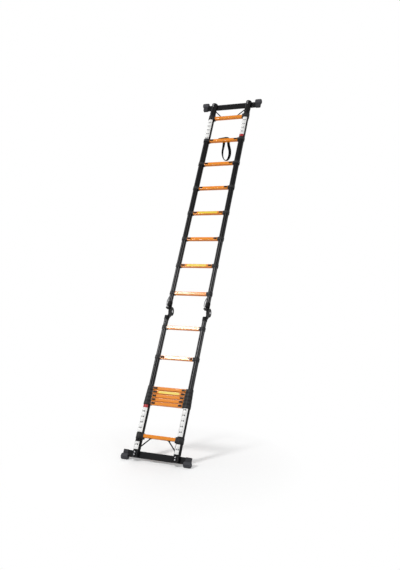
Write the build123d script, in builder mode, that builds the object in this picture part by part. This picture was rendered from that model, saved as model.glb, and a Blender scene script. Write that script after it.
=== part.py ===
from build123d import *
import math
import os

# A telescopic ladder made of two like halves on a pair of hinges, leaning as it stands in use.
# Millimetres and degrees. Each half is drawn upright: X across, Y to the back, Z up the stile,
# with Z = 0 at the axis of the rounded sole. The upper half is the lower one turned end for end.

# Stance and spacing
LEAN = 28.6
SPREAD = 395.0
RUNG_PITCH = 300.0
STACK_PITCH = 35.0
RUNG_1_UP = 195.0
LOWER_DRAWN = (False, False, False, False, True, True)
UPPER_DRAWN = (True, True, True, True, True, True)

# Stile tubes and their collars
TUBE_1_D = 64.0
TUBE_WALL = 1.2
SLIDE_GAP = 0.3
OVERLAP = 50.0
TUBE_FOOT_UP = 5.0
FIT = 0.1
COLLAR_WALL = 3.0
COLLAR_H = 34.4
COLLAR_LIP = 4.0
COLLAR_EDGE = 1.3
GUIDE_GAP = 0.2
PAD_OUT = 7.0
SPIGOT_L = 9.0
SPIGOT_GAP = 0.2
SPIGOT_FRONT = 9.0
LOW_COLLAR_H = 52.0
LOW_COLLAR_DOWN = 30.0

# Rungs
RUNG_H = 30.5
RUNG_D = 36.0
RUNG_WALL = 1.8
RUNG_CORNER = 4.0
TREAD_GROOVES = 5
TREAD_PITCH = 5.0
TREAD_GROOVE_W = 2.0
TREAD_GROOVE_T = 0.7

# Release buttons
BUTTON_L = 33.0
BUTTON_H = 15.0
BUTTON_OUT = 6.0
BUTTON_IN = 5.0
BUTTON_GAP = 0.4
BUTTON_FLANGE = 2.5
BUTTON_FLANGE_T = 2.0
BUTTON_EDGE = 1.5
BUTTON_RIB_W = 1.6
BUTTON_RIB_T = 0.8

# Stabiliser bar and what holds it
BAR_L = 650.0
BAR_H = 58.0
BAR_D = 25.0
BAR_WALL = 2.0
BAR_CORNER = 3.0
BAR_UP = 31.0
BAR_BACK = 18.5
BOLT_D = 8.0
BOLT_PITCH = 22.0
BOLT_HEAD_D = 13.0
BOLT_HEAD_T = 5.0
NUT_T = 6.5
CAP_T = 6.0
CAP_EDGE = 3.5

# Feet on the bar ends
FOOT_L = 48.0
FOOT_WALL = 3.0
SOLE_R = 26.0
SOLE_FORE = 9.0
SOLE_FLARE = 9.0
SOLE_EDGE = 6.0
SOLE_FLAT = 2.5

# Braces under the outer rung
BRACE_D = 11.0
BRACE_IN = 108.0
BRACE_DOWN = 100.0
BRACE_PLATE = 26.0
BRACE_PLATE_T = 3.0

# Hinges between the halves
LOWER_HINGE_RISE = 191.0
UPPER_HINGE_RISE = 167.0
HINGE_BACK = 58.0
LOWER_STUB_SHORT = 77.0
UPPER_STUB_SHORT = 40.0
STUB_IN = 45.0
STUB_WALL = 2.5
SOCKET_WALL = 2.5
SOCKET_DOWN = 34.0
SOCKET_ROOF = 6.0
DISC_D = 86.0
LEAF_T = 10.0
LEAF_GAP = 0.6
PIN_D = 18.0
PIN_GAP = 0.3
PIN_HEAD_D = 24.0
PIN_HEAD_T = 4.0

# Lock levers on the upper hinge leaves
LEVER_W = 16.0
LEVER_T = 3.5
LEVER_L = 120.0
LEVER_OFF = 4.0
LEVER_BOW = 16.0
LEVER_FORE = 40.0
LEVER_UP = 20.0
LEVER_EYE_D = 20.0
LEVER_PIN_D = 6.0
LEVER_GAP = 0.4
EAR_T = 4.0

# Carrying strap on the second rung of the upper half
STRAP_W = 30.0
STRAP_T = 2.2
STRAP_AT = 22.0
STRAP_OVER = 30.0
STRAP_GAUGE = 51.0
STRAP_LOOP = 84.0
STRAP_LEG = 110.0
STRAP_BOW = 86.0
STRAP_TILT = 10.0
STRAP_ROLL = 4.0
LEG_TURN = 30.0
BOW_TURN = 90.0
LEG_STEPS = 6
BOW_STEPS = 8
SLACK_L = 128.0
SLACK_H = 18.5
SLACK_SHAPE = [
    (0.5, 0),
    (0.45, 0.45),
    (0.22, 0.6),
    (0.03, 0.82),
    (-0.13, 1),
    (-0.27, 0.94),
    (-0.41, 0.6),
    (-0.5, 0),
]

# Places that follow from the sizes
os.makedirs("parts", exist_ok=True)
half_spread = SPREAD / 2
base_radius = TUBE_1_D / 2
bar_y = SOLE_FORE
bar_front = bar_y - BAR_D / 2
bar_rear = bar_y + BAR_D / 2
bar_top = BAR_UP + BAR_H / 2
tube_y = bar_y - BAR_BACK
hinge_y = tube_y + HINGE_BACK
sole_drop = SOLE_R - SOLE_FLAT
stile_ends = [(half_spread, tube_y), (-half_spread, tube_y)]
rung_in_d = RUNG_D - 2 * RUNG_WALL
rung_in_h = RUNG_H - 2 * RUNG_WALL


def tube_radius(section):
    return base_radius - (TUBE_WALL + SLIDE_GAP) * (section - 1)


stub_radius = tube_radius(7) - TUBE_WALL - FIT
lever_off = stub_radius + SOCKET_WALL + LEVER_OFF + LEVER_T / 2
lever_y = hinge_y - LEVER_FORE


def pad_reach(section):
    # From the stile axis to the flat pad that the rung butts against
    return tube_radius(section) + COLLAR_WALL + PAD_OUT


def rung_length(section):
    return SPREAD - 2 * pad_reach(section)


def rung_heights(drawn):
    # Rungs 1 and 2 sit on section 1, and rung k + 1 on section k
    heights = [RUNG_1_UP, RUNG_1_UP + RUNG_PITCH]
    for out in drawn:
        heights.append(heights[-1] + (RUNG_PITCH if out else STACK_PITCH))
    return heights


lower_rungs = rung_heights(LOWER_DRAWN)
upper_rungs = rung_heights(UPPER_DRAWN)
lower_hinge = lower_rungs[7] + LOWER_HINGE_RISE
upper_hinge = upper_rungs[7] + UPPER_HINGE_RISE
lower_stub_top = lower_hinge - LOWER_STUB_SHORT
upper_stub_top = upper_hinge - UPPER_STUB_SHORT

lower_half = Location((0, 0, sole_drop), (-LEAN, 0, 0))
upper_half = lower_half * Location((0, 0, lower_hinge + upper_hinge), (0, 180, 0))


def keep(piece, half, name):
    # A finished piece is set in its half and written as one file
    placed = piece.moved(half)
    placed.label = name
    export_step(placed, f"parts/{name}.step")


def collar_outline(section, bore):
    # Ring round the tube with a flat pad towards the rung, for the right-hand stile
    reach = pad_reach(section)
    with BuildSketch(mode=Mode.PRIVATE) as outline:
        with Locations((half_spread, tube_y)):
            Circle(tube_radius(section) + COLLAR_WALL)
        with Locations((half_spread - reach / 2, tube_y)):
            Rectangle(reach, RUNG_D + 2 * FIT)
        with Locations((half_spread, tube_y)):
            Circle(bore, mode=Mode.SUBTRACT)
    return outline.sketch


def make_stiles(section, heights, stub_top, half, name):
    # The pair of tubes of one section, with the collars that carry its rungs
    radius = tube_radius(section)
    rung_up = heights[section]
    collar_low = rung_up - COLLAR_H / 2
    tube_top = collar_low + COLLAR_H - COLLAR_LIP
    tube_low = TUBE_FOOT_UP if section == 1 else rung_up - RUNG_PITCH + COLLAR_H / 2 - OVERLAP
    through = stub_radius + FIT if section == 7 else tube_radius(section + 1) + GUIDE_GAP
    spigot_at = half_spread - pad_reach(section) - SPIGOT_L / 2
    spigot_y = tube_y + (SPIGOT_FRONT - SPIGOT_GAP) / 2
    spigot = (SPIGOT_L, rung_in_d - SPIGOT_FRONT - SPIGOT_GAP, rung_in_h - 2 * SPIGOT_GAP)

    with BuildPart() as stiles:
        with BuildSketch(Plane.XY.offset(collar_low)):
            add(collar_outline(section, radius + FIT))
        extrude(amount=COLLAR_H - COLLAR_LIP)
        with BuildSketch(Plane.XY.offset(tube_top)):
            add(collar_outline(section, through))
        extrude(amount=COLLAR_LIP)
        rims = stiles.edges().group_by(Axis.Z)
        chamfer(rims[0] + rims[-1], COLLAR_EDGE)
        with Locations((spigot_at, spigot_y, rung_up)):
            Box(*spigot)
        if section == 1:
            with BuildSketch(Plane.XY.offset(heights[0] - LOW_COLLAR_DOWN)):
                add(collar_outline(section, radius + FIT))
            extrude(amount=LOW_COLLAR_H)
            low_rims = stiles.edges().group_by(Axis.Z)
            chamfer(low_rims[0], COLLAR_EDGE)
            with Locations((spigot_at, spigot_y, heights[0])):
                Box(*spigot)
        mirror(about=Plane.YZ)
        with BuildSketch(Plane.XY.offset(tube_low)):
            with Locations(*stile_ends):
                Circle(radius)
                Circle(radius - TUBE_WALL, mode=Mode.SUBTRACT)
        extrude(amount=tube_top - FIT - tube_low)
        if section == 1:
            with BuildSketch(Plane.XZ.offset(-tube_y)):
                with Locations((half_spread, BAR_UP), (-half_spread, BAR_UP)):
                    with GridLocations(0, BOLT_PITCH, 1, 2):
                        Circle(BOLT_D / 2 + FIT)
            extrude(amount=TUBE_1_D, both=True, mode=Mode.SUBTRACT)
            # The back of the tube is notched at its end, and the bar lies in the notch
            with Locations((0, bar_front - FIT + TUBE_1_D / 2, bar_top + FIT - BAR_H)):
                Box(BAR_L, TUBE_1_D, 2 * BAR_H, mode=Mode.SUBTRACT)
        if section == 7:
            with BuildSketch(Plane.XY.offset(tube_top - STUB_IN)):
                with Locations(*stile_ends):
                    Circle(stub_radius)
                    Circle(stub_radius - STUB_WALL, mode=Mode.SUBTRACT)
            extrude(amount=stub_top - tube_top + STUB_IN)
    keep(stiles.part, half, name)


def make_rung(section, rung_up, half, name, buttons):
    # A hollow extruded rung with grooved treads, and windows for the buttons where it has them
    length = rung_length(section)
    with BuildPart() as rung:
        with BuildSketch(Plane.YZ.offset(-length / 2)):
            with Locations((tube_y, rung_up)):
                RectangleRounded(RUNG_D, RUNG_H, RUNG_CORNER)
                Rectangle(rung_in_d, rung_in_h, mode=Mode.SUBTRACT)
                with GridLocations(TREAD_PITCH, RUNG_H, TREAD_GROOVES, 2):
                    Rectangle(TREAD_GROOVE_W, 2 * TREAD_GROOVE_T, mode=Mode.SUBTRACT)
        extrude(amount=length)
        if buttons:
            at = length / 2 - BUTTON_IN - BUTTON_L / 2
            window = (BUTTON_L + 2 * BUTTON_GAP, 2 * RUNG_WALL + 1, BUTTON_H + 2 * BUTTON_GAP)
            with Locations((at, tube_y - RUNG_D / 2, rung_up), (-at, tube_y - RUNG_D / 2, rung_up)):
                Box(*window, mode=Mode.SUBTRACT)
    keep(rung.part, half, name)


def make_buttons(section, rung_up, half, name):
    # The pair of release buttons of one rung, held behind its front wall by their flanges
    at = rung_length(section) / 2 - BUTTON_IN - BUTTON_L / 2
    front = tube_y - RUNG_D / 2 - BUTTON_OUT
    flange_y = tube_y - RUNG_D / 2 + RUNG_WALL + BUTTON_GAP
    with BuildPart() as buttons:
        with Locations((at, (front + flange_y) / 2, rung_up)):
            Box(BUTTON_L, flange_y - front, BUTTON_H)
        face = buttons.faces().sort_by(Axis.Y)[0]
        fillet(face.edges(), BUTTON_EDGE)
        with Locations((at, front + BUTTON_RIB_T / 2, rung_up)):
            with GridLocations(BUTTON_L / 5, 0, 4, 1):
                Box(BUTTON_RIB_W, BUTTON_RIB_T, BUTTON_H - 4 * BUTTON_EDGE, mode=Mode.SUBTRACT)
        with Locations((at, flange_y + BUTTON_FLANGE_T / 2, rung_up)):
            Box(BUTTON_L + 2 * BUTTON_FLANGE, BUTTON_FLANGE_T, BUTTON_H + 2 * BUTTON_FLANGE)
        mirror(about=Plane.YZ)
    keep(buttons.part, half, name)


def make_base(heights, half, side):
    # Stabiliser bar, its plugs, bolts, feet and braces at the outer end of one half
    bolt_rows = [(half_spread, BAR_UP), (-half_spread, BAR_UP)]
    with BuildPart() as bar:
        with BuildSketch(Plane.YZ.offset(-BAR_L / 2)):
            with Locations((bar_y, BAR_UP)):
                RectangleRounded(BAR_D, BAR_H, BAR_CORNER)
                Rectangle(BAR_D - 2 * BAR_WALL, BAR_H - 2 * BAR_WALL, mode=Mode.SUBTRACT)
        extrude(amount=BAR_L)
        with BuildSketch(Plane.XZ.offset(-bar_y)):
            with Locations(*bolt_rows):
                with GridLocations(0, BOLT_PITCH, 1, 2):
                    Circle(BOLT_D / 2 + FIT)
        extrude(amount=BAR_D, both=True, mode=Mode.SUBTRACT)
    keep(bar.part, half, f"{side}_bar")

    # A moulded cap closes each tube end, and its plug fills the tube in front of the bar
    with BuildPart() as ends:
        with BuildSketch(Plane.XY.offset(TUBE_FOOT_UP - CAP_T)):
            with Locations(*stile_ends):
                Circle(base_radius)
        extrude(amount=CAP_T)
        fillet(ends.edges().group_by(Axis.Z)[0], CAP_EDGE)
        with BuildSketch(Plane.XY.offset(TUBE_FOOT_UP)):
            with Locations(*stile_ends):
                Circle(base_radius - TUBE_WALL - FIT)
        extrude(amount=bar_top - TUBE_FOOT_UP)
        with Locations((0, bar_front - FIT + TUBE_1_D / 2, bar_top + FIT - BAR_H)):
            Box(BAR_L, TUBE_1_D, 2 * BAR_H, mode=Mode.SUBTRACT)
        with BuildSketch(Plane.XZ.offset(-tube_y)):
            with Locations(*bolt_rows):
                with GridLocations(0, BOLT_PITCH, 1, 2):
                    Circle(BOLT_D / 2 + FIT)
        extrude(amount=TUBE_1_D, both=True, mode=Mode.SUBTRACT)
    keep(ends.part, half, f"{side}_stile_ends")

    # Bolts run through tube, plug and bar to a nut behind the bar
    head_y = tube_y - base_radius
    with BuildPart() as bolts:
        with BuildSketch(Plane.XZ.offset(-head_y)):
            with Locations(*bolt_rows):
                with GridLocations(0, BOLT_PITCH, 1, 2):
                    Circle(BOLT_HEAD_D / 2)
        extrude(amount=BOLT_HEAD_T)
        fillet(bolts.edges().group_by(Axis.Y)[0], BOLT_HEAD_T * 0.6)
        with BuildSketch(Plane.XZ.offset(-head_y)):
            with Locations(*bolt_rows):
                with GridLocations(0, BOLT_PITCH, 1, 2):
                    Circle(BOLT_D / 2)
        extrude(amount=head_y - bar_rear - NUT_T)
        with BuildSketch(Plane.XZ.offset(-bar_rear)):
            with Locations(*bolt_rows):
                with GridLocations(0, BOLT_PITCH, 1, 2):
                    RegularPolygon(BOLT_HEAD_D / 2, 6)
        extrude(amount=-NUT_T)
    keep(bolts.part, half, f"{side}_bar_bolts")

    # Feet: a sleeve over each bar end, on a thick round sole with a small flat to stand on
    inner = BAR_L / 2 + FOOT_WALL - FOOT_L
    outer = BAR_L / 2 + FOOT_WALL
    sleeve_top = bar_top + FOOT_WALL
    pocket = FOOT_L + 2 * SOLE_FLARE
    down = Vector(0, math.sin(math.radians(LEAN)), -math.cos(math.radians(LEAN)))
    with BuildPart() as feet:
        with BuildSketch(Plane.YZ.offset(inner - SOLE_FLARE)):
            Circle(SOLE_R)
        extrude(amount=FOOT_L + 2 * SOLE_FLARE)
        fillet(feet.edges().filter_by(GeomType.CIRCLE), SOLE_EDGE)
        with Locations(((inner + outer) / 2, bar_y, sleeve_top / 2)):
            Box(FOOT_L, BAR_D + 2 * FOOT_WALL, sleeve_top)
        fillet(feet.faces().sort_by(Axis.Z)[-1].edges(), FOOT_WALL * 0.6)
        with Locations((BAR_L / 2 - pocket / 2, bar_y, BAR_UP)):
            Box(pocket, BAR_D + 2 * FIT, BAR_H + 2 * FIT, mode=Mode.SUBTRACT)
        split(bisect_by=Plane(origin=down * sole_drop, z_dir=down), keep=Keep.BOTTOM)
        mirror(about=Plane.YZ)
    keep(feet.part, half, f"{side}_feet")

    # Braces: a rod from a small plate under the outer rung down to the stile
    rung_low = heights[0] - RUNG_H / 2
    start = Vector(half_spread - BRACE_IN, tube_y, rung_low - BRACE_PLATE_T / 2)
    end = Vector(half_spread, tube_y, heights[0] - BRACE_DOWN - base_radius * 0.8)
    with BuildPart() as braces:
        with BuildSketch(Plane(origin=start, z_dir=end - start)):
            Circle(BRACE_D / 2)
        extrude(amount=(end - start).length)
        with Locations((half_spread - BRACE_IN, tube_y, rung_low - FIT - BRACE_PLATE_T / 2)):
            Box(BRACE_PLATE, BRACE_D * 2, BRACE_PLATE_T)
        with BuildSketch():
            with Locations((half_spread, tube_y)):
                Circle(base_radius + FIT)
        extrude(amount=heights[0], mode=Mode.SUBTRACT)
        with Locations((0, tube_y, rung_low - FIT + RUNG_H / 2)):
            Box(SPREAD, RUNG_D, RUNG_H, mode=Mode.SUBTRACT)
        mirror(about=Plane.YZ)
    keep(braces.part, half, f"{side}_braces")


def make_half(heights, stub_top, half, side):
    make_base(heights, half, side)
    make_rung(1, heights[0], half, f"{side}_rung_1", False)
    for section in range(1, 8):
        make_stiles(section, heights, stub_top, half, f"{side}_stiles_{section}")
        make_rung(section, heights[section], half, f"{side}_rung_{section + 1}", section < 7)
        if section < 7:
            make_buttons(section, heights[section], half, f"{side}_buttons_{section + 1}")


def make_leaves(hinge_up, stub_top, half, name, ears):
    # Hinge leaves: a socket on each stub end, and an arm back to a round disc at the pivot
    socket_r = stub_radius + SOCKET_WALL
    disc_r = DISC_D / 2
    leaf_planes = [Plane.YZ.offset(x + LEAF_GAP / 2) for x, _ in stile_ends]
    arm = [
        (tube_y, stub_top - SOCKET_DOWN),
        (tube_y + socket_r * 0.6, stub_top - SOCKET_DOWN),
        (hinge_y + disc_r * 0.2, hinge_up - disc_r * 0.95),
        (hinge_y - disc_r * 0.95, hinge_up + disc_r * 0.2),
        (tube_y, stub_top + SOCKET_ROOF),
    ]
    with BuildPart() as leaves:
        with BuildSketch(*leaf_planes):
            with BuildLine():
                Polyline(*arm, close=True)
            make_face()
            with Locations((hinge_y, hinge_up)):
                Circle(disc_r)
        extrude(amount=LEAF_T)
        with BuildSketch(Plane.XY.offset(stub_top - SOCKET_DOWN)):
            with Locations(*stile_ends):
                Circle(socket_r)
        extrude(amount=SOCKET_DOWN + SOCKET_ROOF)
        if ears:
            eyes = [(x + lever_off, hinge_up - LEVER_UP) for x, _ in stile_ends]
            side_y = LEVER_W / 2 + LEVER_GAP + EAR_T / 2
            root = lever_off - LEAF_T / 2
            with Locations(*[(eye_x - root / 2, lever_y, eye_up) for eye_x, eye_up in eyes]):
                with GridLocations(0, 2 * side_y, 1, 2):
                    Box(root, EAR_T, LEVER_EYE_D)
            ear_planes = [Plane.XZ.offset(-lever_y - s * side_y - EAR_T / 2) for s in (-1, 1)]
            with BuildSketch(*ear_planes):
                with Locations(*eyes):
                    Circle(LEVER_EYE_D / 2)
            extrude(amount=EAR_T)
            with BuildSketch(Plane.XZ.offset(-lever_y)):
                with Locations(*eyes):
                    Circle(LEVER_PIN_D / 2)
            extrude(amount=side_y, both=True)
        with BuildSketch(Plane.XY.offset(stub_top - 2 * SOCKET_DOWN)):
            with Locations(*stile_ends):
                Circle(stub_radius + FIT)
        extrude(amount=2 * SOCKET_DOWN, mode=Mode.SUBTRACT)
        with BuildSketch(Plane.YZ):
            with Locations((hinge_y, hinge_up)):
                Circle(PIN_D / 2 + PIN_GAP)
        extrude(amount=SPREAD, both=True, mode=Mode.SUBTRACT)
    keep(leaves.part, half, name)


def make_pins():
    # Pivot pins with a broad head on either side of the two discs
    inside = LEAF_T + LEAF_GAP / 2 + PIN_GAP
    with BuildPart() as pins:
        for x in (half_spread, -half_spread):
            with BuildSketch(Plane.YZ.offset(x)):
                with Locations((hinge_y, lower_hinge)):
                    Circle(PIN_D / 2)
            extrude(amount=inside, both=True)
            with BuildSketch(Plane.YZ.offset(x + inside)):
                with Locations((hinge_y, lower_hinge)):
                    Circle(PIN_HEAD_D / 2)
            extrude(amount=PIN_HEAD_T)
            with BuildSketch(Plane.YZ.offset(x - inside)):
                with Locations((hinge_y, lower_hinge)):
                    Circle(PIN_HEAD_D / 2)
            extrude(amount=-PIN_HEAD_T)
    keep(pins.part, lower_half, "hinge_pins")


def make_lever(x, name):
    # Lock lever: an eye on its pin between the ears, and a flat strip bowed out beside the stub
    eye_x = x + lever_off
    eye_up = upper_hinge - LEVER_UP
    inner = eye_x - LEVER_T / 2
    outer = eye_x + LEVER_T / 2
    with BuildPart() as lever:
        with BuildSketch(Plane.XZ.offset(-lever_y)):
            with BuildLine():
                ThreePointArc(
                    (inner, eye_up),
                    (inner + LEVER_BOW, eye_up - LEVER_L / 2),
                    (inner, eye_up - LEVER_L),
                )
                Line((inner, eye_up - LEVER_L), (outer, eye_up - LEVER_L))
                ThreePointArc(
                    (outer, eye_up - LEVER_L),
                    (outer + LEVER_BOW, eye_up - LEVER_L / 2),
                    (outer, eye_up),
                )
                Line((outer, eye_up), (inner, eye_up))
            make_face()
            with Locations((eye_x, eye_up)):
                Circle(LEVER_EYE_D / 2 - LEVER_OFF / 2)
                Circle(LEVER_PIN_D / 2 + PIN_GAP, mode=Mode.SUBTRACT)
        extrude(amount=LEVER_W / 2, both=True)
    keep(lever.part, upper_half, name)


def make_strap():
    # Webbing handle: slack webbing bunched up on the tread, a tail from there down the back of the
    # rung on either side, and a bow that hangs nearly plumb from the two tails
    back = tube_y + RUNG_D / 2
    tread = upper_rungs[1] - RUNG_H / 2
    under = tread + RUNG_H
    swing = math.radians(LEAN - STRAP_TILT)
    roll = math.radians(STRAP_ROLL)
    forward = Vector(0, -math.cos(swing), math.sin(swing))
    plumb = Vector(0, math.sin(swing), math.cos(swing))
    hang = plumb * math.cos(roll) - Vector(1, 0, 0) * math.sin(roll)
    across = hang.cross(forward)
    start = Vector(-STRAP_AT, back + STRAP_T / 2, under)
    gauge = STRAP_GAUGE / 2
    reach = STRAP_LOOP / 2

    stations = []
    for step in range(LEG_STEPS + 1):
        share = step / LEG_STEPS
        aside = gauge + (reach - gauge) * share * share * (3 - 2 * share)
        turn = math.radians(LEG_TURN) * share
        lie = across * math.cos(turn) - forward * math.sin(turn)
        at = start + across * aside + hang * (STRAP_LEG * share)
        stations.append(Plane(origin=at, x_dir=lie, z_dir=hang))
    for step in range(1, BOW_STEPS + 1):
        share = step / BOW_STEPS
        bend = math.radians(90 * share)
        turn = math.radians(LEG_TURN + (BOW_TURN - LEG_TURN) * share)
        at = start + across * (reach * math.cos(bend)) + hang * (STRAP_LEG + STRAP_BOW * math.sin(bend))
        run = hang * (STRAP_BOW * math.cos(bend)) - across * (reach * math.sin(bend))
        outward = run.normalized().cross(forward)
        lie = outward * math.cos(turn) - forward * math.sin(turn)
        stations.append(Plane(origin=at, x_dir=lie, z_dir=run))

    with BuildPart() as strap:
        for station in stations:
            with BuildSketch(station):
                Rectangle(STRAP_W, STRAP_T)
        loft(ruled=True)
        mirror(about=Plane(origin=start, x_dir=hang, z_dir=across))
        tails = [Plane.YZ.offset(s * gauge - STRAP_AT - STRAP_W / 2) for s in (-1, 1)]
        with BuildSketch(*tails):
            with BuildLine():
                Polyline(
                    (back - STRAP_OVER, tread),
                    (back, tread),
                    (back, under + STRAP_T),
                    (back + STRAP_T, under + STRAP_T),
                    (back + STRAP_T, tread - STRAP_T),
                    (back - STRAP_OVER, tread - STRAP_T),
                    close=True,
                )
            make_face()
        extrude(amount=STRAP_W)
        with BuildSketch(Plane.XZ.offset(-tube_y)):
            with BuildLine():
                Polyline(*[(SLACK_L * x, tread - SLACK_H * up) for x, up in SLACK_SHAPE], close=True)
            make_face()
        extrude(amount=STRAP_W / 2, both=True)
    keep(strap.part, upper_half, "carry_strap")


make_half(lower_rungs, lower_stub_top, lower_half, "lower")
make_half(upper_rungs, upper_stub_top, upper_half, "upper")
make_leaves(lower_hinge, lower_stub_top, lower_half, "hinge_lower_leaves", False)
make_leaves(upper_hinge, upper_stub_top, upper_half, "hinge_upper_leaves", True)
make_pins()
make_lever(half_spread, "lock_lever_left")
make_lever(-half_spread, "lock_lever_right")
make_strap()
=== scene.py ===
import bpy
import math
from mathutils import Matrix, Vector


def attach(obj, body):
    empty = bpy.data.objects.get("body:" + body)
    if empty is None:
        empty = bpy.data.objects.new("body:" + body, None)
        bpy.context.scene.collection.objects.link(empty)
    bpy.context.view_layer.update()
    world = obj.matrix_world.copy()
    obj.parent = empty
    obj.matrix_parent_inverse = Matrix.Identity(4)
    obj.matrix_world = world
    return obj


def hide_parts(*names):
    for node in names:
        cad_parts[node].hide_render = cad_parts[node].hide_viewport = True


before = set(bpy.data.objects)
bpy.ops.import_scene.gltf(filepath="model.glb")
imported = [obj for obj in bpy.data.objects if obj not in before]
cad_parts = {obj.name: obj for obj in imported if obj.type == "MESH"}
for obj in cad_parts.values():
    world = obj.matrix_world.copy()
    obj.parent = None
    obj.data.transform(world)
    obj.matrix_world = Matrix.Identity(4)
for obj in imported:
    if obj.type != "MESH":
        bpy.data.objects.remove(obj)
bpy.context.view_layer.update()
scene = bpy.context.scene
scene.view_settings.view_transform = "Standard"

# Studio: a pale floor that runs out to white, a white surround, one bright soft box high on the
# left that glares on the middle rungs, and two weaker ones. The camera stands in front of the
# ladder and to its right, at head height.


class Socket:
    """A node socket. Sums and products of sockets and numbers add Math nodes."""

    def __init__(self, tree, out=None):
        self.tree = tree
        self.out = out

    def node(self, kind, settings=None, sockets=None, out=0):
        made = self.tree.nodes.new(kind)
        for name, value in (settings or {}).items():
            setattr(made, name, value)
        for name, value in (sockets or {}).items():
            if isinstance(value, Socket):
                self.tree.links.new(value.out, made.inputs[name])
            else:
                made.inputs[name].default_value = value
        return Socket(self.tree, made.outputs[out])

    def math(self, operation, a, b=0.0):
        return self.node("ShaderNodeMath", {"operation": operation}, {0: a, 1: b})

    def __add__(self, other):
        return self.math("ADD", self, other)

    __radd__ = __add__

    def __sub__(self, other):
        return self.math("SUBTRACT", self, other)

    def __rsub__(self, other):
        return self.math("SUBTRACT", other, self)

    def __mul__(self, other):
        return self.math("MULTIPLY", self, other)

    __rmul__ = __mul__

    def __truediv__(self, other):
        return self.math("DIVIDE", self, other)

    def __gt__(self, other):
        return self.math("GREATER_THAN", self, other)

    def __lt__(self, other):
        return self.math("LESS_THAN", self, other)

    def spread(self, low, high):
        """0 at low, 1 at high, clamped."""
        return self.node("ShaderNodeMapRange", None, {"Value": self, "From Min": low, "From Max": high})

    def tint(self, first, second):
        """The colour that this value picks between two colours."""
        pair = [c if isinstance(c, Socket) else (*c, 1.0) for c in (first, second)]
        return self.node("ShaderNodeMix", {"data_type": "RGBA"}, {0: self, 6: pair[0], 7: pair[1]}, 2)


class Finish:
    """A material with one shader. Its patterns lie along the leaning ladder."""

    def __init__(self, name, **constants):
        self.material = bpy.data.materials.new(name)
        self.material.use_nodes = True
        self.tree = self.material.node_tree
        self.shader = self.tree.nodes["Principled BSDF"]
        for socket, value in constants.items():
            self.shader.inputs[socket.replace("_", " ")].default_value = value

    def node(self, *args, **kwargs):
        return Socket(self.tree).node(*args, **kwargs)

    def place(self, scale=(1.0, 1.0, 1.0)):
        at = self.node("ShaderNodeTexCoord", out="Object")
        turned = self.node("ShaderNodeMapping", None, {"Vector": at, "Rotation": (LEAN, 0, 0)})
        return self.node("ShaderNodeMapping", None, {"Vector": turned, "Scale": scale})

    def axis(self, vector, letter):
        return self.node("ShaderNodeSeparateXYZ", None, {"Vector": vector}, letter)

    def noise(self, vector, scale, detail=3.0):
        return self.node("ShaderNodeTexNoise", None, {"Vector": vector, "Scale": scale, "Detail": detail})

    def feed(self, **sockets):
        for socket, value in sockets.items():
            self.tree.links.new(value.out, self.shader.inputs[socket.replace("_", " ")])

    def bump(self, height, strength, distance):
        shape = {"Height": height, "Strength": strength, "Distance": distance}
        self.feed(Normal=self.node("ShaderNodeBump", None, shape))


LEAN = math.radians(28.6)
FLOOR_REACH = 16.0
FLOOR_CORNERS = [(-1, -1), (1, -1), (1, 1), (-1, 1)]
floor_mesh = bpy.data.meshes.new("floor")
floor_places = [(x * FLOOR_REACH, y * FLOOR_REACH, 0.0) for x, y in FLOOR_CORNERS]
floor_mesh.from_pydata(floor_places, [], [(0, 1, 2, 3)])
floor = bpy.data.objects.new("floor", floor_mesh)
scene.collection.objects.link(floor)

floor_paint = Finish("floor_paint", Roughness=0.9)
ground = floor_paint.node("ShaderNodeTexCoord", out="Object")
floor_paint.feed(Base_Color=floor_paint.noise(ground, 0.6).tint((0.95, 0.95, 0.95), (0.97, 0.97, 0.97)))
FADE_NEAR, FADE_FAR = 0.0, 1.3
SHOWN_TO = ("Is Camera Ray", "Is Glossy Ray", "Is Transmission Ray")
away = floor_paint.node("ShaderNodeVectorMath", {"operation": "LENGTH"}, {0: ground}, "Value")
seen = sum(floor_paint.node("ShaderNodeLightPath", out=ray) for ray in SHOWN_TO)
white = floor_paint.node("ShaderNodeEmission", None, {"Color": (1, 1, 1, 1), "Strength": 1.0})
faded = floor_paint.node("ShaderNodeMixShader", None, {0: away.spread(FADE_NEAR, FADE_FAR) * seen, 2: white})
floor_paint.tree.links.new(floor_paint.shader.outputs[0], faded.out.node.inputs[1])
floor_paint.tree.links.new(faded.out, floor_paint.tree.nodes["Material Output"].inputs["Surface"])
floor_mesh.materials.append(floor_paint.material)

surround = bpy.data.worlds.new("surround")
surround.use_nodes = True
scene.world = surround
AMBIENT = 0.42
sky = Socket(surround.node_tree)
seen = sum(sky.node("ShaderNodeLightPath", out=ray) for ray in SHOWN_TO)
backdrop = surround.node_tree.nodes["Background"]
backdrop.inputs["Color"].default_value = (1, 1, 1, 1)
surround.node_tree.links.new((AMBIENT + (1 - AMBIENT) * (seen > 0.5)).out, backdrop.inputs["Strength"])

LAMPS = (
    ("soft_box", (-2.1, -2.4, 4.5), (0.0, 0.65, 1.2), 0.8, 1.3, 165),
    ("side_box", (4.5, -3.0, 3.7), (0.0, 0.9, 1.6), 0.6, 2.8, 50),
    ("back_box", (-1.0, 5.0, 5.0), (0.0, 0.9, 1.8), 3.0, 3.0, 60),
)
for lamp_name, spot, aim, width, height, watts in LAMPS:
    lamp = bpy.data.lights.new(lamp_name, "AREA")
    lamp.shape = "RECTANGLE"
    lamp.size = width
    lamp.size_y = height
    lamp.energy = watts
    holder = bpy.data.objects.new(lamp_name, lamp)
    holder.location = spot
    holder.rotation_euler = (Vector(aim) - Vector(spot)).to_track_quat("-Z", "Y").to_euler()
    scene.collection.objects.link(holder)

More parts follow.
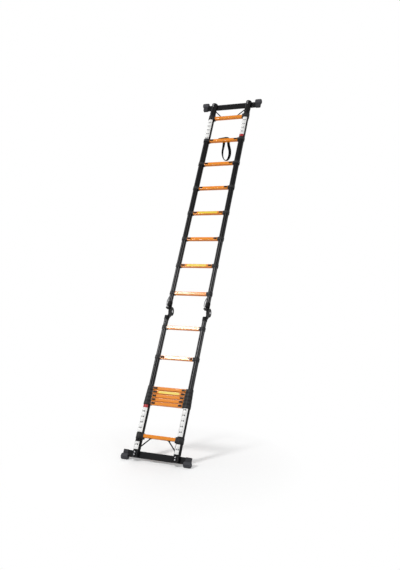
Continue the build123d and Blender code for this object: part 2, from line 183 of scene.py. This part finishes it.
FOCAL_LENGTH, SENSOR_HEIGHT = 42.226, 36.0
EYE, GAZE = Vector((2.621, -5.095, 1.891)), Vector((-0.39578, 0.91645, -0.05901))
lens = bpy.data.cameras.new("camera")
lens.sensor_fit = "VERTICAL"
lens.sensor_height = SENSOR_HEIGHT
lens.lens = FOCAL_LENGTH
camera = bpy.data.objects.new("camera", lens)
forward = GAZE.normalized()
right = forward.cross(Vector((0, 0, 1))).normalized()
turn = Matrix((right, right.cross(forward), -forward)).transposed()
camera.matrix_world = Matrix.Translation(EYE) @ turn.to_4x4()
scene.collection.objects.link(camera)
scene.camera = camera

# Stile tubes: seven nested pairs of drawn aluminium tube in each half, black anodised, with shallow flutes
# drawn along them and a fine drawn grain. The flute crests carry a painted highlight, tinted grey, strongest
# on the inner sections.
SOLE_DROP = 0.0235
LENGTH = 3.888
HALF_SPREAD = 0.1975
TUBE_Y = -0.0095
TUBE_RADIUS = 0.032
RADIUS_STEP = 0.0015
FLUTES = 8
# Painted highlight on the flute crests: its grey, and its strength for each section from outer to inner.
SHEEN_GREY = (0.17, 0.17, 0.175)
CREST_SHEEN = (0.06, 0.06, 0.08, 0.12, 0.3, 0.6, 1.0)
RUNGS = {
    "lower": (0.195, 0.495, 0.530, 0.565, 0.600, 0.635, 0.935, 1.235),
    "upper": (0.195, 0.495, 0.795, 1.095, 1.395, 1.695, 1.995, 2.295),
}


def stood(half, x, y, z):
    """A point of an upright half, set where that half stands."""
    if half == "upper":
        x, z = -x, LENGTH - z
    back = y * math.cos(LEAN) + z * math.sin(LEAN)
    up = z * math.cos(LEAN) - y * math.sin(LEAN)
    return Vector((x, back, up + SOLE_DROP))


def upright(half, point):
    """A point of the standing ladder, on its half drawn upright."""
    y = point.y * math.cos(LEAN) - (point.z - SOLE_DROP) * math.sin(LEAN)
    z = point.y * math.sin(LEAN) + (point.z - SOLE_DROP) * math.cos(LEAN)
    return Vector((-point.x, y, LENGTH - z)) if half == "upper" else Vector((point.x, y, z))


def dress(node, *finishes):
    """Give a CAD node its finishes."""
    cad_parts[node].data.materials.clear()
    for finish in finishes:
        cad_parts[node].data.materials.append(finish.material)
    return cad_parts[node].data


def tube_finish(section):
    """Black anodising, with a painted highlight: its flute crests tinted grey, most on the inner sections."""
    finish = Finish(f"tube_black_{section}", Specular_IOR_Level=0.10)
    drawn = finish.noise(finish.place((320, 320, 2.5)), 1.0, 4.0)
    cloud = finish.noise(finish.place(), 9.0)
    over = finish.axis(finish.place(), "X")
    back = finish.axis(finish.place(), "Y")
    axis_y = TUBE_Y - SOLE_DROP * math.sin(LEAN)
    around = over.math("ARCTAN2", back - axis_y, over.math("ABSOLUTE", over) - HALF_SPREAD)
    flute = over.math("SINE", around * FLUTES)
    # Painted highlight: the flute crests are tinted towards grey, by section.
    sheen_and_wear = flute.spread(0.1, 0.9) * (0.75 + 0.5 * drawn) * CREST_SHEEN[section - 1]
    anodised = (0.6 * cloud + 0.4 * drawn).tint((0.0015, 0.0015, 0.0018), (0.006, 0.006, 0.0068))
    finish.feed(Base_Color=sheen_and_wear.tint(anodised, SHEEN_GREY), Roughness=0.12 + 0.10 * drawn + 0.06 * cloud)
    finish.bump(flute + 0.1 * drawn, 0.5, 0.0006)
    return finish


# Collars: black nylon mouldings pressed on the tube ends, each with a flat pad that the rung
# butts on. They have a fine spark-eroded grain and a duller skin than the tubes.
COLLAR_HALF = 0.0172
COLLAR_LIP = 0.004
STUB_CLEAR = 0.0219
# Painted shade towards each collar's rims begins this far from the collar's middle.
RIM_SHADE_START = 0.005
LIP_BELOW, LIP_ABOVE, SKIN_OFF = 0.00005, 0.0002, 0.00008


def collar_finish(name, *rung_places):
    """Nylon, with a painted highlight as a paler band round each collar's middle and painted shade darkening
    its rims.
    """
    finish = Finish(name, Specular_IOR_Level=0.22)
    skin = finish.noise(finish.place(), 30.0, 4.0)
    along = finish.axis(finish.place(), "Z")
    rim_shade = 1.0
    for place in rung_places:
        off = along - (place + SOLE_DROP * math.cos(LEAN))
        rim_shade = off.math("MINIMUM", rim_shade, off.math("ABSOLUTE", off).spread(RIM_SHADE_START, COLLAR_HALF))
    # Painted highlight paler round each collar's middle, painted shade darker at its rims where stacked
    # collars meet.
    finish.feed(Base_Color=(0.75 * rim_shade + 0.25 * skin).tint((0.022, 0.022, 0.023), (0.002, 0.002, 0.0023)),
                Roughness=0.40 + 0.22 * skin)
    finish.bump(finish.noise(finish.place(), 1400.0, 2.0), 0.25, 0.0003)
    return finish


for half, rungs in RUNGS.items():
    for section in range(1, 8):
        places = [rungs[section], rungs[0]] if section == 1 else [rungs[section]]
        if half == "upper":
            places = [LENGTH - place for place in places]
        nylon = collar_finish(f"collar_nylon_{half}_{section}", *places)
        stiles = dress(f"{half}_stiles_{section}", tube_finish(section), nylon)
        radius = TUBE_RADIUS - RADIUS_STEP * (section - 1)
        for facet in stiles.polygons:
            spot = upright(half, facet.center)
            out = math.hypot(abs(spot.x) - HALF_SPREAD, spot.y - TUBE_Y)
            up = spot.z - rungs[section]
            level = COLLAR_HALF - COLLAR_LIP - LIP_BELOW < up < COLLAR_HALF + LIP_ABOVE
            lip = level and out > STUB_CLEAR
            facet.material_index = int(lip or out > radius + SKIN_OFF)

# Rungs: hollow aluminium extrusions with grooved treads, satin orange, drawn lengthwise and
# rubbed paler on the treads. They slip over the collars' spigots.
rung_orange = Finish("rung_orange", Specular_IOR_Level=0.08, Coat_Weight=0.45, Coat_Roughness=0.11)
grain = rung_orange.noise(rung_orange.place((6, 320, 320)), 1.0)
scuff = rung_orange.noise(rung_orange.place((22, 90, 90)), 1.0, 5.0).spread(0.52, 0.78)
turned = rung_orange.node("ShaderNodeTexCoord", out="Normal")
up_axis = (0.0, math.sin(LEAN), math.cos(LEAN))
facing = rung_orange.node(
    "ShaderNodeVectorMath", {"operation": "DOT_PRODUCT"}, {0: turned, 1: up_axis}, "Value")
sheen_and_wear = scuff * facing.math("ABSOLUTE", facing).spread(0.6, 0.95)
satin = (0.2 + 0.6 * grain).tint((0.66, 0.200, 0.008), (0.80, 0.258, 0.014))
rung_orange.feed(
    Base_Color=(0.35 * sheen_and_wear).tint(satin, (0.80, 0.46, 0.18)),
    Roughness=0.28 + 0.06 * grain + 0.08 * sheen_and_wear,
)
rung_orange.bump(grain, 0.12, 0.0002)
for half in RUNGS:
    for number in range(1, 9):
        dress(f"{half}_rung_{number}", rung_orange)

# Rung rivets: blind rivets through the back and the underside of each rung end into the collar
# spigot. They are aluminium, a low dome round the snapped stem.
RIVET_IN = 0.0048
COLLAR_REACH = 0.010
RUNG_HALF_DEPTH = 0.018
RUNG_HALF_HEIGHT = 0.01525
rivet_metal = Finish("rivet_metal", Metallic=1.0)
dull = rivet_metal.noise(rivet_metal.place(), 400.0)
rivet_metal.feed(Base_Color=dull.tint((0.22, 0.22, 0.225), (0.34, 0.34, 0.345)), Roughness=0.45 + 0.2 * dull)


class Growth:
    """A Geometry Nodes tree with named sizes."""

    def __init__(self, name, **sizes):
        self.tree = bpy.data.node_groups.new(name, "GeometryNodeTree")
        self.tree.interface.new_socket("Geometry", in_out="INPUT", socket_type="NodeSocketGeometry")
        self.keys = {}
        for label, value in sizes.items():
            made = self.tree.interface.new_socket(label, in_out="INPUT", socket_type="NodeSocketFloat")
            made.default_value = value
            self.keys[label] = made.identifier
        self.tree.interface.new_socket("Geometry", in_out="OUTPUT", socket_type="NodeSocketGeometry")
        self.entry = self.tree.nodes.new("NodeGroupInput")

    def given(self, label):
        return Socket(self.tree, self.entry.outputs[label])

    def node(self, *args, **kwargs):
        return Socket(self.tree).node(*args, **kwargs)

    def marked(self, label):
        return self.node("GeometryNodeInputNamedAttribute", {"data_type": "FLOAT_VECTOR"}, {"Name": label})

    def turned(self, vector):
        return self.node("FunctionNodeAlignRotationToVector", {"axis": "Z"}, {"Vector": vector})

    def end(self, instances, finish):
        plain = self.node("GeometryNodeRealizeInstances", None, {"Geometry": instances})
        smooth = self.node("GeometryNodeSetShadeSmooth", None, {"Geometry": plain})
        coated = self.node("GeometryNodeSetMaterial", None, {"Geometry": smooth, "Material": finish.material})
        self.tree.links.new(coated.out, self.tree.nodes.new("NodeGroupOutput").inputs[0])

    def grow(self, name, body, slot, points, edges=(), marks=None, **sizes):
        """Grow a piece on some points, make it a plain mesh and set it on its body."""
        seeds = bpy.data.meshes.new(name)
        seeds.from_pydata(points, list(edges), [])
        for label, vectors in (marks or {}).items():
            layer = seeds.attributes.new(label, "FLOAT_VECTOR", "POINT")
            for place, vector in zip(layer.data, vectors):
                place.vector = vector
        piece = bpy.data.objects.new(name, seeds)
        scene.collection.objects.link(piece)
        step = piece.modifiers.new("growth", "NODES")
        step.node_group = self.tree
        for label, value in sizes.items():
            step[self.keys[label]] = value
        made = bpy.data.meshes.new_from_object(piece.evaluated_get(bpy.context.evaluated_depsgraph_get()))
        piece.modifiers.remove(step)
        piece.data = made
        bpy.data.meshes.remove(seeds)
        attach(piece, body)
        return piece


rivets = Growth("rivets", Head=0.0065, Rise=0.0011)
dome = rivets.node("GeometryNodeMeshUVSphere", None, {
    "Segments": 14, "Rings": 8, "Radius": rivets.given("Head") * 0.5})
squat = rivets.node("ShaderNodeCombineXYZ", None, {
    0: 1.0, 1: 1.0, 2: rivets.given("Rise") / (rivets.given("Head") * 0.5)})
dome = rivets.node("GeometryNodeTransform", None, {"Geometry": dome, "Scale": squat})
stem = rivets.node("GeometryNodeMeshCylinder", None, {
    "Vertices": 10, "Radius": rivets.given("Head") * 0.16, "Depth": rivets.given("Rise") * 2.3})
head = rivets.node("GeometryNodeJoinGeometry", None, {"Geometry": dome})
rivets.tree.links.new(stem.out, head.out.node.inputs[0])
outward_turn = rivets.turned(rivets.marked("outward"))
rivets.end(rivets.node("GeometryNodeInstanceOnPoints", None, {
    "Points": rivets.given("Geometry"), "Instance": head, "Rotation": outward_turn}), rivet_metal)


def rung_section(number):
    """The section that carries a rung. The first two rungs are on the outermost."""
    return max(1, number - 1)


def section_body(half, section):
    return f"{half}_base" if section == 1 else f"{half}_section_{section}"


for half, rungs in RUNGS.items():
    for section in range(1, 8):
        spots, outward = [], []
        for number in range(1, 9):
            if rung_section(number) != section:
                continue
            reach = HALF_SPREAD - TUBE_RADIUS + RADIUS_STEP * (section - 1) - COLLAR_REACH - RIVET_IN
            for x in (-reach, reach):
                for y, z in ((1, 0), (0, -1)):
                    at = (x, TUBE_Y + y * RUNG_HALF_DEPTH, rungs[number - 1] + z * RUNG_HALF_HEIGHT)
                    spots.append(stood(half, *at))
                    outward.append(stood(half, at[0], at[1] + y, at[2] + z) - spots[-1])
        rivets.grow(f"{half}_rung_rivets_{section}", section_body(half, section), "zinc_steel", spots,
                    marks={"outward": outward})

# Yellow strips: plain vinyl stuck on the front of two rungs in each half, with a little dust
# along them.
STRIP_LENGTH, STRIP_HEIGHT, STRIP_THICK, STRIP_OFF = 0.205, 0.021, 0.0004, 0.00003
STRIP_RUNGS = (5, 7)
strip_yellow = Finish("strip_yellow", Roughness=0.2)
strip_yellow.feed(Base_Color=strip_yellow.noise(strip_yellow.place((30, 200, 200)), 1.0).tint(
    (0.62, 0.46, 0.020), (0.76, 0.60, 0.045)))
BLOCK_FACES = [(0, 1, 3, 2), (4, 6, 7, 5), (0, 4, 5, 1), (2, 3, 7, 6), (0, 2, 6, 4), (1, 5, 7, 3)]


def added(name, mesh, finish, body):
    """Set a finished mesh on its body as a piece."""
    mesh.materials.append(finish.material)
    piece = bpy.data.objects.new(name, mesh)
    scene.collection.objects.link(piece)
    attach(piece, body)
    return piece


for half, rungs in RUNGS.items():
    for number in STRIP_RUNGS:
        front = TUBE_Y - RUNG_HALF_DEPTH
        corners = [stood(half, x, y, rungs[number - 1] + z)
                   for x in (-STRIP_LENGTH / 2, STRIP_LENGTH / 2)
                   for y in (front - STRIP_THICK, front - STRIP_OFF)
                   for z in (-STRIP_HEIGHT / 2, STRIP_HEIGHT / 2)]
        strip_mesh = bpy.data.meshes.new(f"{half}_strip_{number}")
        strip_mesh.from_pydata(corners, [], BLOCK_FACES)
        carrier = section_body(half, rung_section(number))
        added(f"{half}_strip_{number}", strip_mesh, strip_yellow, carrier)

# Release buttons: black moulded thumb pieces, ribbed for grip and polished on their crowns,
# sprung in windows in the rung fronts.
button_black = Finish("button_black", Specular_IOR_Level=0.16)
handled = button_black.noise(button_black.place(), 60.0, 4.0)
button_black.feed(
    Base_Color=handled.tint((0.004, 0.004, 0.0045), (0.011, 0.011, 0.012)),
    Roughness=0.32 + 0.25 * handled,
)
button_black.bump(button_black.noise(button_black.place(), 1600.0, 2.0), 0.2, 0.0002)
for half in RUNGS:
    for number in range(2, 8):
        dress(f"{half}_buttons_{number}", button_black)

# Stickers: pale vinyl wrapped round the front of the outer tubes, printed with plain dark blocks
# over faint ruled rows, and a short dark red one beside one collar of each half.
WRAP_ANGLE = math.radians(47)
WRAP_STEPS = 24
WRAP_THICK = 0.0004
WRAP_OFF = 0.00005
BLOCK_PITCH, BLOCK_START, RULE_PITCH = 0.050, 0.010, 0.004
BLOCK_ROWS, RULE_ROWS = (0.30, 0.56), (0.66, 0.94)
LEFT_BLOCK, RIGHT_BLOCK, RULE_WIDTH = (0.011, 0.021), (0.026, 0.037), (0.010, 0.038)
sticker_pale = Finish("sticker_pale", Roughness=0.36)
sheet = sticker_pale.node("ShaderNodeUVMap", {"uv_map": "wrap"})
row = (sticker_pale.axis(sheet, "Y") + BLOCK_START) / BLOCK_PITCH
rule = sticker_pale.axis(sheet, "Y") / RULE_PITCH
column = sticker_pale.axis(sheet, "X")
share = row.math("FRACT", row)


def within(value, band):
    return (value > band[0]) * (value < band[1])


blocks = within(share, BLOCK_ROWS) * (within(column, LEFT_BLOCK) + within(column, RIGHT_BLOCK))
ruled = rule.math("FRACT", rule) > 0.6
lines = within(share, RULE_ROWS) * ruled * within(column, RULE_WIDTH)
fleck = sticker_pale.noise(sheet, 120.0, 3.0)
printed = 0.9 * blocks + 0.3 * lines + 0.1 * fleck
sticker_pale.feed(Base_Color=printed.tint((0.86, 0.86, 0.85), (0.02, 0.02, 0.022)))
sticker_red = Finish("sticker_red", Roughness=0.4)
faded_red = sticker_red.noise(sticker_red.place(), 40.0)
sticker_red.feed(Base_Color=faded_red.tint((0.30, 0.010, 0.014), (0.42, 0.018, 0.022)))


def wrap(name, half, x, low, high, finish, angle=WRAP_ANGLE):
    """A thin closed vinyl shell on the front of an outer tube."""
    corners, faces = [], []
    for radius in (TUBE_RADIUS + WRAP_OFF, TUBE_RADIUS + WRAP_THICK):
        for z in (low, high):
            for step in range(WRAP_STEPS + 1):
                bend = angle * (2 * step / WRAP_STEPS - 1)
                corners.append(stood(half, x + radius * math.sin(bend), TUBE_Y - radius * math.cos(bend), z))
    line = WRAP_STEPS + 1
    for step in range(WRAP_STEPS):
        low_in, high_in, low_out, high_out = (step + line * k for k in range(4))
        faces.append((low_out, low_out + 1, high_out + 1, high_out))
        faces.append((high_in, high_in + 1, low_in + 1, low_in))
        faces.append((low_in, low_in + 1, low_out + 1, low_out))
        faces.append((high_out, high_out + 1, high_in + 1, high_in))
    faces.append((0, 2 * line, 3 * line, line))
    faces.append((line - 1 + line, line - 1 + 3 * line, line - 1 + 2 * line, line - 1))
    mesh = bpy.data.meshes.new(name)
    mesh.from_pydata(corners, [], faces)
    chart = mesh.uv_layers.new(name="wrap")
    for corner, loop in zip(chart.data, mesh.loops):
        place = loop.vertex_index % (2 * line)
        corner.uv = (2 * angle * TUBE_RADIUS * (place % line) / WRAP_STEPS, low if place < line else high)
    return added(name, mesh, finish, f"{half}_base")


STICKER_LOW, STICKER_RED, STICKER_HIGH, STICKER_GAP = 0.223, 0.446, 0.473, 0.0005
FOOT_LOW, FOOT_RIGHT_HIGH, FOOT_LEFT_HIGH = 0.069, 0.155, 0.137
FOOT_RIGHT_ANGLE, FOOT_LEFT_ANGLE = math.radians(36), math.radians(40)
for half in RUNGS:
    wrap(f"{half}_sticker_plain", half, HALF_SPREAD, STICKER_LOW, STICKER_HIGH, sticker_pale)
    wrap(f"{half}_sticker_long", half, -HALF_SPREAD, STICKER_LOW, STICKER_RED - STICKER_GAP, sticker_pale)
    wrap(f"{half}_sticker_red", half, -HALF_SPREAD, STICKER_RED, STICKER_HIGH, sticker_red)
wrap("lower_sticker_foot_right", "lower", HALF_SPREAD, FOOT_LOW, FOOT_RIGHT_HIGH,
     sticker_pale, FOOT_RIGHT_ANGLE)
wrap("lower_sticker_foot_left", "lower", -HALF_SPREAD, FOOT_LOW, FOOT_LEFT_HIGH,
     sticker_pale, FOOT_LEFT_ANGLE)

# Stabiliser bars and braces: steel box and rod under black powder coat, with the slight peel
# of sprayed powder. The bar lies in notches in the stile ends, the braces run under rung 1.
powder_black = Finish("powder_black", Specular_IOR_Level=0.09)
dust = powder_black.noise(powder_black.place(), 14.0, 5.0)
powder_black.feed(
    Base_Color=dust.tint((0.003, 0.003, 0.0034), (0.009, 0.009, 0.010)),
    Roughness=0.34 + 0.2 * dust,
)
powder_black.bump(powder_black.noise(powder_black.place(), 420.0, 2.0), 0.22, 0.0005)
for half in RUNGS:
    dress(f"{half}_bar", powder_black)
    dress(f"{half}_braces", powder_black)

# Stile ends: moulded caps on the outer tubes, each with a plug that fills the tube in front of
# the bar.
cap_nylon = collar_finish("cap_nylon")
for half in RUNGS:
    dress(f"{half}_stile_ends", cap_nylon)

# Bolts: zinc-plated button heads and nuts that clamp tube, plug and bar, a little clouded.
zinc = Finish("zinc", Metallic=1.0)
bloom = zinc.noise(zinc.place(), 120.0, 4.0)
zinc.feed(Base_Color=bloom.tint((0.26, 0.26, 0.27), (0.42, 0.42, 0.43)), Roughness=0.3 + 0.25 * bloom)
zinc.bump(zinc.noise(zinc.place((900, 900, 40)), 1.0, 2.0), 0.12, 0.0002)
for half in RUNGS:
    dress(f"{half}_bar_bolts", zinc)

# Feet: moulded rubber shoes pulled over the bar ends, chalky and scuffed. The sleeve is nearly black. The
# round sole, with grip ribs along its front and back, is painted a paler grey, a painted highlight for the
# light its bulge catches.
SOLE_RADIUS = 0.026
SOLE_IN, SOLE_OUT = 0.271, 0.337
SOLE_TOUCH = 0.0005
RIB_DROPS = {-1: (12, 26, 40), 1: (-2, 12, 26)}
foot_rubber = Finish("foot_rubber", Specular_IOR_Level=0.25)
chalk = foot_rubber.noise(foot_rubber.place(), 35.0, 5.0)
speck = foot_rubber.noise(foot_rubber.place(), 700.0, 2.0)
foot_rubber.feed(Base_Color=(0.8 * chalk + 0.2 * speck).tint((0.012, 0.012, 0.014), (0.036, 0.036, 0.040)),
                 Roughness=0.6 + 0.2 * chalk)
foot_rubber.bump(speck, 0.3, 0.0004)
# Painted highlight: the sole and its ribs get a paler grey than the sleeve, for the light falling on the
# bulge.
sole_rubber_lit = Finish("sole_rubber_lit", Specular_IOR_Level=0.25)
chalk = sole_rubber_lit.noise(sole_rubber_lit.place(), 50.0, 5.0)
speck = sole_rubber_lit.noise(sole_rubber_lit.place(), 700.0, 2.0)
sole_rubber_lit.feed(Base_Color=(0.7 * chalk + 0.3 * speck).tint((0.030, 0.030, 0.034), (0.070, 0.070, 0.078)),
                 Roughness=0.65 + 0.2 * chalk)
sole_rubber_lit.bump(speck, 0.35, 0.0005)
ribs = Growth("foot_ribs", Thickness=0.0024, Length=0.050)
rod = ribs.node("GeometryNodeMeshCylinder", None, {
    "Vertices": 12, "Radius": ribs.given("Thickness") * 0.5, "Depth": ribs.given("Length")})
along_turn = ribs.turned(ribs.marked("along"))
ribs.end(ribs.node("GeometryNodeInstanceOnPoints", None, {
    "Points": ribs.given("Geometry"), "Instance": rod, "Rotation": along_turn}), sole_rubber_lit)
for half in RUNGS:
    for facet in dress(f"{half}_feet", foot_rubber, sole_rubber_lit).polygons:
        spot = upright(half, facet.center)
        facet.material_index = int(math.hypot(spot.y, spot.z) < SOLE_RADIUS + SOLE_TOUCH)
    spots = []
    for side in (-1, 1):
        for face, drops in RIB_DROPS.items():
            for drop in drops:
                front = face * SOLE_RADIUS * math.cos(math.radians(drop))
                down = SOLE_RADIUS * math.sin(math.radians(drop))
                spots.append(stood(half, side * (SOLE_IN + SOLE_OUT) / 2, front, -down))
    along = [(1, 0, 0)] * len(spots)
    ribs.grow(f"{half}_foot_ribs", f"{half}_base", "foot_rubber", spots, marks={"along": along})

# Hinges: black powder-coated cast leaves, each with a socket on its stub and a round disc.
# The pivots are zinc-plated steel, the bowed lock levers beside the upper stubs darker.
dress("hinge_lower_leaves", powder_black)
dress("hinge_upper_leaves", powder_black)
pin_bright = Finish("pin_bright", Metallic=1.0)
shine = pin_bright.noise(pin_bright.place(), 160.0)
pin_bright.feed(Base_Color=shine.tint((0.44, 0.44, 0.45), (0.62, 0.62, 0.63)), Roughness=0.28 + 0.2 * shine)
dress("hinge_pins", pin_bright)
lever_grey = Finish("lever_grey", Metallic=1.0)
rolled = lever_grey.noise(lever_grey.place((260, 260, 9)), 1.0)
lever_grey.feed(
    Base_Color=rolled.tint((0.11, 0.11, 0.115), (0.21, 0.21, 0.215)),
    Roughness=0.34 + 0.2 * rolled,
)
dress("lock_lever_left", lever_grey)
dress("lock_lever_right", lever_grey)

# Carrying strap: black nylon webbing, a herringbone weave with dense edges. Slack turns are
# bunched on the second rung of the upper half, a tail runs down its back on either side, and the
# bow hangs nearly plumb from them, flat at first and turned on its edge at its foot.
BAND_WIDTH, BAND_THICK = 0.030, 0.0022
BAND_AT, BAND_GAUGE, BAND_OVER = 0.022, 0.051, 0.030
BAND_REACH, BAND_LEG, BAND_BOW = 0.042, 0.110, 0.086
BAND_TILT, BAND_ROLL = math.radians(10), math.radians(4)
LEG_TURN, BOW_TURN = math.radians(30), math.radians(90)
BAND_CORNER = 0.003
BAND_SECTION = 8
SLACK_LENGTH, SLACK_RISE, SLACK_TURNS = 0.128, 0.0185, 8
SLACK_SHAPE = (
    (-0.5, 0), (-0.41, 0.6), (-0.27, 0.94), (-0.13, 1), (0.03, 0.82), (0.22, 0.6), (0.45, 0.45), (0.5, 0))
TAIL_STEPS, CORNER_STEPS, BACK_STEPS, LEG_STEPS, BOW_STEPS, SLACK_STEPS = 6, 6, 5, 20, 20, 6
WEAVE_PITCH = 0.0018
WEAVE_ROWS = 4
towards = Vector((0, -math.cos(LEAN - BAND_TILT), math.sin(LEAN - BAND_TILT)))
plumb = Vector((0, math.sin(LEAN - BAND_TILT), math.cos(LEAN - BAND_TILT)))
hang = plumb * math.cos(BAND_ROLL) - Vector((1, 0, 0)) * math.sin(BAND_ROLL)
across = hang.cross(towards)
tread = RUNGS["upper"][1] - RUNG_HALF_HEIGHT
behind = TUBE_Y + RUNG_HALF_DEPTH
middle = BAND_THICK / 2 + 0.0001


def half_bow(side):
    """Frames (point, along, across the webbing) of one tail and leg, from its end to the bow's foot."""
    gauge = BAND_GAUGE / 2
    wide = Vector((side, 0, 0))
    frames = []
    for step in range(TAIL_STEPS + 1):
        back = behind - BAND_OVER + (BAND_OVER - BAND_CORNER) * step / TAIL_STEPS
        frames.append((Vector((side * gauge, back, tread - middle)), Vector((0, 1, 0)), wide))
    for step in range(1, CORNER_STEPS):
        bend = math.pi / 2 * step / CORNER_STEPS
        out = BAND_CORNER + middle
        back = behind - BAND_CORNER + out * math.sin(bend)
        up = tread + BAND_CORNER - out * math.cos(bend)
        frames.append((Vector((side * gauge, back, up)), Vector((0, math.cos(bend), math.sin(bend))), wide))
    for step in range(BACK_STEPS):
        up = tread + BAND_CORNER + (2 * RUNG_HALF_HEIGHT - 2 * BAND_CORNER) * step / BACK_STEPS
        frames.append((Vector((side * gauge, behind + middle, up)), Vector((0, 0, 1)), wide))
    start = Vector((0, behind + BAND_THICK / 2, tread + 2 * RUNG_HALF_HEIGHT))
    for step in range(1, LEG_STEPS + 1):
        share = step / LEG_STEPS
        aside = gauge + (BAND_REACH - gauge) * share * share * (3 - 2 * share)
        turn = LEG_TURN * share
        at = start + across * side * aside + hang * BAND_LEG * share
        frames.append((at, hang, across * side * math.cos(turn) - towards * math.sin(turn)))
    for step in range(1, BOW_STEPS + 1):
        bend = math.pi / 2 * step / BOW_STEPS
        turn = LEG_TURN + (BOW_TURN - LEG_TURN) * step / BOW_STEPS
        drop = BAND_LEG + BAND_BOW * math.sin(bend)
        at = start + across * side * BAND_REACH * math.cos(bend) + hang * drop
        run = (hang * BAND_BOW * math.cos(bend) - across * side * BAND_REACH * math.sin(bend)).normalized()
        outward = run.cross(towards) * side
        frames.append((at, run, outward * math.cos(turn) - towards * math.sin(turn)))
    return frames


def slack_turn(size):
    """Frames of one slack turn that lies bunched along the tread."""
    spots = []
    for (near, low), (far, high) in zip(SLACK_SHAPE, SLACK_SHAPE[1:]):
        for step in range(SLACK_STEPS):
            share = step / SLACK_STEPS
            aside = (near + (far - near) * share) * SLACK_LENGTH * (0.6 + 0.4 * size)
            lift = (low + (high - low) * share) * (SLACK_RISE - BAND_THICK) * size
            spots.append(Vector((aside, TUBE_Y, tread - middle - lift)))
    ends = [spots[0]] + spots + [spots[-1]]
    return [(at, (ends[i + 2] - ends[i]).normalized(), Vector((0, -1, 0))) for i, at in enumerate(spots)]


def ribbon(frames, corners, faces, places):
    """Add a closed band of webbing through some frames, with its width and length as UV places."""
    ring = 2 * (BAND_SECTION + 1)
    first, run = len(corners), 0.0
    for index, (at, along, wide) in enumerate(frames):
        run += (at - frames[max(0, index - 1)][0]).length
        out = along.cross(wide).normalized()
        for side in (1, -1):
            for k in range(BAND_SECTION + 1):
                share = side * (2 * k / BAND_SECTION - 1)
                thick = BAND_THICK / 2 * (1 - 0.55 * share ** 8)
                corners.append(stood("upper", *(at + wide * share * BAND_WIDTH / 2 + out * side * thick)))
                places.append(((share + 1) * BAND_WIDTH / 2, run))
    for index in range(len(frames) - 1):
        low = first + index * ring
        for k in range(ring):
            after = (k + 1) % ring
            faces.append((low + k, low + ring + k, low + ring + after, low + after))
    faces.append(tuple(first + k for k in range(ring)))
    faces.append(tuple(first + (len(frames) - 1) * ring + k for k in reversed(range(ring))))


back_up = [(at, -along, wide) for at, along, wide in reversed(half_bow(-1)[:-1])]
aside = Vector((-BAND_AT, 0, 0))
corners, faces, places = [], [], []
ribbon([(at + aside, along, wide) for at, along, wide in half_bow(1) + back_up], corners, faces, places)
for number in range(SLACK_TURNS):
    ribbon(slack_turn(1 - number / SLACK_TURNS), corners, faces, places)
band_mesh = bpy.data.meshes.new("carry_webbing")
band_mesh.from_pydata(corners, [], faces)
chart = band_mesh.uv_layers.new(name="band")
for corner, loop in zip(chart.data, band_mesh.loops):
    corner.uv = places[loop.vertex_index]
for facet in band_mesh.polygons:
    facet.use_smooth = len(facet.vertices) == 4

webbing = Finish("webbing", Specular_IOR_Level=0.05)
cloth = webbing.node("ShaderNodeUVMap", {"uv_map": "band"})
over = webbing.axis(cloth, "X") * (WEAVE_ROWS / BAND_WIDTH)
zigzag = over.math("PINGPONG", over, 1.0) * 3.0
twill = over.math("SINE", (webbing.axis(cloth, "Y") / WEAVE_PITCH + zigzag) * (2 * math.pi))
fluff = webbing.noise(cloth, 900.0)
webbing.feed(
    Base_Color=(0.3 + 0.25 * twill + 0.3 * fluff).tint((0.002, 0.002, 0.0023), (0.008, 0.008, 0.009)),
    Roughness=0.75 + 0.2 * fluff,
)
webbing.bump(twill + 0.4 * fluff, 0.5, 0.0003)
band = added("carry_webbing", band_mesh, webbing, "upper_base")
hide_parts("carry_strap")
